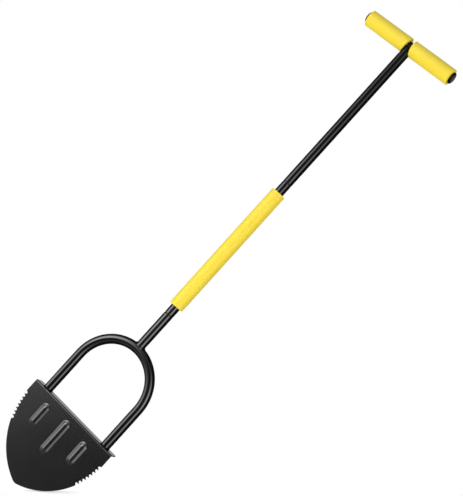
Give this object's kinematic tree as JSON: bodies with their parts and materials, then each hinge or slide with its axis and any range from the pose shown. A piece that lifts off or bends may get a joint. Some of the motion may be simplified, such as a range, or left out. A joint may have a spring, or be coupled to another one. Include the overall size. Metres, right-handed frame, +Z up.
{
  "type": "half moon edger",
  "caption": "Long-handled lawn edger: pointed arch blade with saw-toothed shoulders and a folded foot tread, a tube bow above it, and a screw-together handle with foam grips.",
  "frame": {"origin": "the blade's tip, on the handle's axis and the lowest point of the tool", "axes": "+Z up the handle's axis; X along the crossbar and the tread; the blade's ribbed front faces -Y and the tread folds back towards +Y"},
  "size_m": [0.197, 0.0316, 1.0474],
  "materials": {
    "blade_black": "satin black coat",
    "tube_black": "gloss black coat",
    "weld_black": "gloss black coat over a bead",
    "foam_yellow": "soft closed-cell foam",
    "plug_black": "gloss",
    "washer_black": "matte",
    "thread_zinc": "zinc plated"
  },
  "bodies": {
    "head": {"blade": "blade_black", "bow": "tube_black", "left_foot_weld": "weld_black", "right_foot_weld": "weld_black", "neck_weld": "weld_black", "neck_tube": "tube_black", "neck_bush": "thread_zinc"},
    "lower_ring": {"lower_washer": "washer_black"},
    "middle_section": {"middle_stud": "thread_zinc", "middle_tube": "tube_black", "middle_grip": "foam_yellow", "middle_bush": "thread_zinc"},
    "upper_ring": {"upper_washer": "washer_black"},
    "top_section": {"upper_stud": "thread_zinc", "upper_tube": "tube_black", "crossbar_weld": "weld_black", "crossbar": "tube_black", "left_bar_grip": "foam_yellow", "right_bar_grip": "foam_yellow", "left_end_plug": "plug_black", "right_end_plug": "plug_black"}
  },
  "joints": [
    {"name": "lower_rise", "type": "slide", "parent": "head", "child": "lower_ring", "axis": [0, 0, 1], "range_m": [0, 0.021]},
    {"name": "lower_screw", "type": "hinge", "parent": "lower_ring", "child": "middle_section", "pos_m": [0, 0, 0.3935], "axis": [0, 0, 1], "range_deg": [0, 4320]},
    {"name": "upper_rise", "type": "slide", "parent": "middle_section", "child": "upper_ring", "axis": [0, 0, 1], "range_m": [0, 0.021]},
    {"name": "upper_screw", "type": "hinge", "parent": "upper_ring", "child": "top_section", "pos_m": [0, 0, 0.7052], "axis": [0, 0, 1], "range_deg": [0, 4320]}
  ],
  "couplings": [
    {"joint": "lower_screw", "follows": "lower_rise", "rad_per_m": 3590},
    {"joint": "upper_screw", "follows": "upper_rise", "rad_per_m": 3590}
  ]
}
